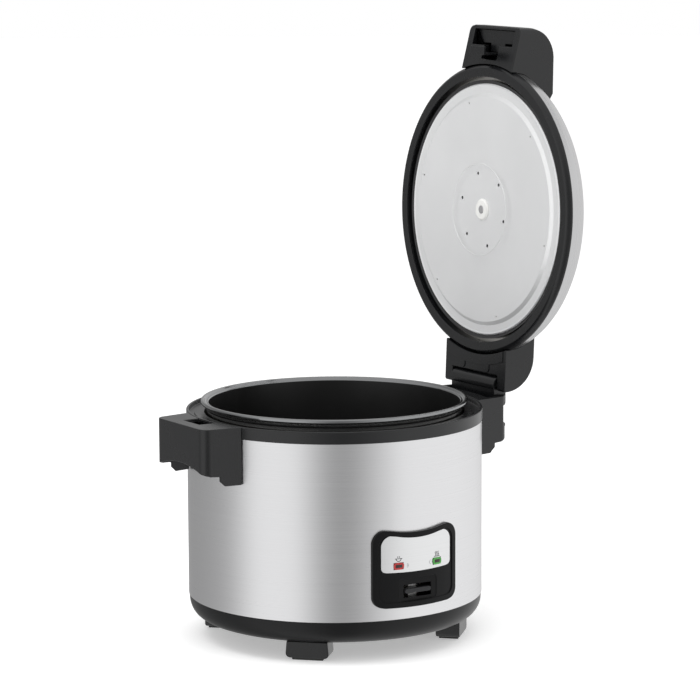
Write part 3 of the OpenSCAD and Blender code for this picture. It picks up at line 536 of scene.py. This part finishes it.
def add_liner():
    """The steel liner, with its flange's top painted black as painted shade where it shows beside the pot.
    """
    mesh = copy_of("inner_liner")
    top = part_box("inner_liner")[1][2]
    # Painted shade: faces near the flange's top take the black moulding and stand for the dark gap between
    # ring and pot.
    for face in mesh.faces:
        if face.calc_center_median().z > top - SHADED_FLANGE_DEPTH:
            face.material_index = 1
    finishes = ["sheet", "dark_moulding"]
    add_piece("liner_painted_shade", mesh, "cooker", finishes, ["inner_liner"], sharp=30)


# ---------- panel, plate and lid details ----------

LABEL_R = -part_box("label_plate")[0][1]
PRINT_THICKNESS = 0.12 * MM
PRINT_LIFT = 0.02 * MM

# A lamp's window: its thickness, corners and place, its bright rim, and the dark oval inside
WINDOW_THICKNESS = 1.6 * MM
WINDOW_CORNER_R = 3.4 * MM
WINDOW_LIFT = 0.4 * MM
WINDOW_SINK = 0.1 * MM
RIM_WIDTH = 1.9 * MM
RIM_DROP = 0.35 * MM
OVAL_WIDTH = 0.5 * MM
OVAL_RISE = 0.25 * MM


def wrap(mesh, radius):
    """Lays a flat drawing in XZ on the label's round face, its +Y thickness inwards."""
    for vert in mesh.verts:
        vert.co.y -= math.sqrt(radius ** 2 - vert.co.x ** 2)


def flat_strip(points, width, thickness):
    """A thin raised line through points in XZ."""
    mesh = bmesh.new()
    for first, last in zip(points, points[1:]):
        start, end = Vector(first), Vector(last)
        run = end - start
        made = bmesh.ops.create_cube(mesh, size=1)["verts"]
        bmesh.ops.scale(mesh, vec=(run.length + width, thickness, width), verts=made)
        bmesh.ops.rotate(
            mesh, verts=made, matrix=Matrix.Rotation(-math.atan2(run.y, run.x), 3, "Y"),
        )
        middle = (start + end) / 2
        bmesh.ops.translate(mesh, vec=(middle.x, 0, middle.y), verts=made)
    return mesh


def add_print(name, strokes, at, width=0.85):
    """A small pictogram of strokes, in mm about a point of the label."""
    whole = bmesh.new()
    for stroke in strokes:
        points = [((at[0] + x) * MM, (at[1] + z) * MM) for x, z in stroke]
        part = flat_strip(points, width * MM, PRINT_THICKNESS)
        wrap(part, LABEL_R + PRINT_LIFT)
        data = bpy.data.meshes.new("stroke")
        part.to_mesh(data)
        part.free()
        whole.from_mesh(data)
        bpy.data.meshes.remove(data)
    add_piece(name, whole, "cooker", ["print"])


def arc_points(radius, first, last, steps=10):
    """Points along an arc about the origin, from first to last degrees."""
    angles = [math.radians(first + (last - first) * index / steps) for index in range(steps + 1)]
    return [(radius * math.cos(angle), radius * math.sin(angle)) for angle in angles]


def add_lamp(name, slot):
    """A lamp window with round corners, a bright rim and a dark oval inside."""
    low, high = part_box(name)
    middle = ((low[0] + high[0]) / 2, (low[2] + high[2]) / 2)
    size = (high[0] - low[0], high[2] - low[2])
    body = bmesh.new()
    bmesh.ops.create_cube(body, size=1)
    bmesh.ops.scale(body, vec=(size[0], WINDOW_THICKNESS, size[1]), verts=body.verts)
    corners = [edge for edge in body.edges if abs(edge.verts[0].co.y - edge.verts[1].co.y) > 1e-4]
    bevel(body, corners, WINDOW_CORNER_R, segments=6)
    front = [face for face in body.faces if face.normal.y < -0.9]
    bmesh.ops.inset_region(body, faces=front, thickness=RIM_WIDTH, depth=-RIM_DROP)
    bmesh.ops.inset_region(body, faces=front, thickness=OVAL_WIDTH, depth=OVAL_RISE)
    for face in front:
        face.material_index = 1
    bmesh.ops.translate(body, vec=(middle[0], WINDOW_SINK, middle[1]), verts=body.verts)
    wrap(body, LABEL_R + WINDOW_LIFT)
    add_piece(name + "_window", body, "cooker", [slot, "lens_centre"], [name])


def add_panel_details():
    """The lamps' windows, a mark over each and an arc beside it. Strokes are in millimetres."""
    z = (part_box("lamp_cook")[0][2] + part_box("lamp_cook")[1][2]) / 2 / MM
    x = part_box("lamp_warm")[0][0] / MM + 7
    steam = [[(side * 1.2, 1.6), (side * 1.2, 2.8)] for side in (-1, 1)]
    bowl = [arc_points(3.4, 180, 360), [(-4.6, 0), (4.6, 0)]] + steam
    add_print("cook_mark", bowl, (-x, z + 9.6))
    waves = [
        [(k * 2.4 + 0.7 * math.sin(step * 1.1), -2.4 + step * 0.8) for step in range(7)] for k in (-1, 0, 1)
    ] + [[(-4.2, -3.6), (4.2, -3.6)]]
    add_print("warm_mark", waves, (x, z + 9.8))
    dial = [arc_points(3.0, -70, 70), arc_points(1.5, -60, 60)]
    add_print("cook_dial", dial, (-x + 11.0, z), width=0.3)
    add_print("warm_dial", [arc_points(3.0, 110, 250)], (x - 9.5, z), width=0.3)
    add_lamp("lamp_cook", "red_lens")
    add_lamp("lamp_warm", "green_lens")


BEAD_SIDES = 10
BEAD_STEPS = 120
SEAM_MERGE = 0.001 * MM


def add_bead(name, radius, width, height, z, body, slot):
    """A low round bead, drawn on the closed lid and turned open."""
    mesh = bmesh.new()
    ring = bmesh.ops.create_circle(mesh, segments=BEAD_SIDES, radius=1)["verts"]
    bmesh.ops.scale(mesh, vec=(width / 2, height, 1), verts=ring)
    bmesh.ops.rotate(mesh, verts=ring, matrix=Matrix.Rotation(math.pi / 2, 3, "X"))
    bmesh.ops.translate(mesh, vec=(radius, 0, 0), verts=ring)
    bmesh.ops.spin(
        mesh, geom=mesh.edges[:] + mesh.verts[:], axis=(0, 0, 1), cent=(0, 0, 0),
        angle=math.tau, steps=BEAD_STEPS, use_merge=True,
    )
    bmesh.ops.remove_doubles(mesh, verts=mesh.verts, dist=SEAM_MERGE)
    bmesh.ops.recalc_face_normals(mesh, faces=mesh.faces)
    bmesh.ops.translate(mesh, vec=(0, 0, z), verts=mesh.verts)
    bmesh.ops.transform(mesh, matrix=TO_OPEN, verts=mesh.verts)
    add_piece(name, mesh, body, [slot], sharp=60)


# On the closed lid, from the plate's face or edge
BEAD_RADIUS = 62 * MM
BEAD_WIDTH = 1.6 * MM
BEAD_HEIGHT = 0.35 * MM
BEAD_LIFT = 0.02 * MM
CLIP_SIZE = (5 * MM, 9 * MM, 3 * MM)
CLIP_EDGE_R = 0.8 * MM
CLIP_TURN = math.radians(-143)
CLIP_OUT = 6.2 * MM
CLIP_UP = 13 * MM


def add_lid_details():
    """The plate's pressed ring and the clip at its edge, from the closed lid's measures."""
    low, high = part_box("inner_plate")
    corner = TO_CLOSED @ Vector((low[0], 0, (low[2] + high[2]) / 2))
    plate_r = (high[1] - low[1]) / 2
    bead_z = corner.z + BEAD_LIFT
    add_bead("plate_bead", BEAD_RADIUS, BEAD_WIDTH, BEAD_HEIGHT, bead_z, "plate", "plate_aluminium")
    clip = bmesh.new()
    bmesh.ops.create_cube(clip, size=1)
    bmesh.ops.scale(clip, vec=CLIP_SIZE, verts=clip.verts)
    bevel(clip, clip.edges[:], CLIP_EDGE_R, segments=2)
    out = Matrix.Translation((plate_r + CLIP_OUT, 0, corner.z + CLIP_UP))
    place = Matrix.Rotation(CLIP_TURN, 4, "Z") @ out
    bmesh.ops.transform(clip, matrix=TO_OPEN @ place, verts=clip.verts)
    add_piece("plate_clip", clip, "lid", ["spring_steel"])


finish_nodes()
add_liner()
add_soft_mouldings()
add_pot()
add_panel_details()
add_lid_details()
add_camera()
add_studio()
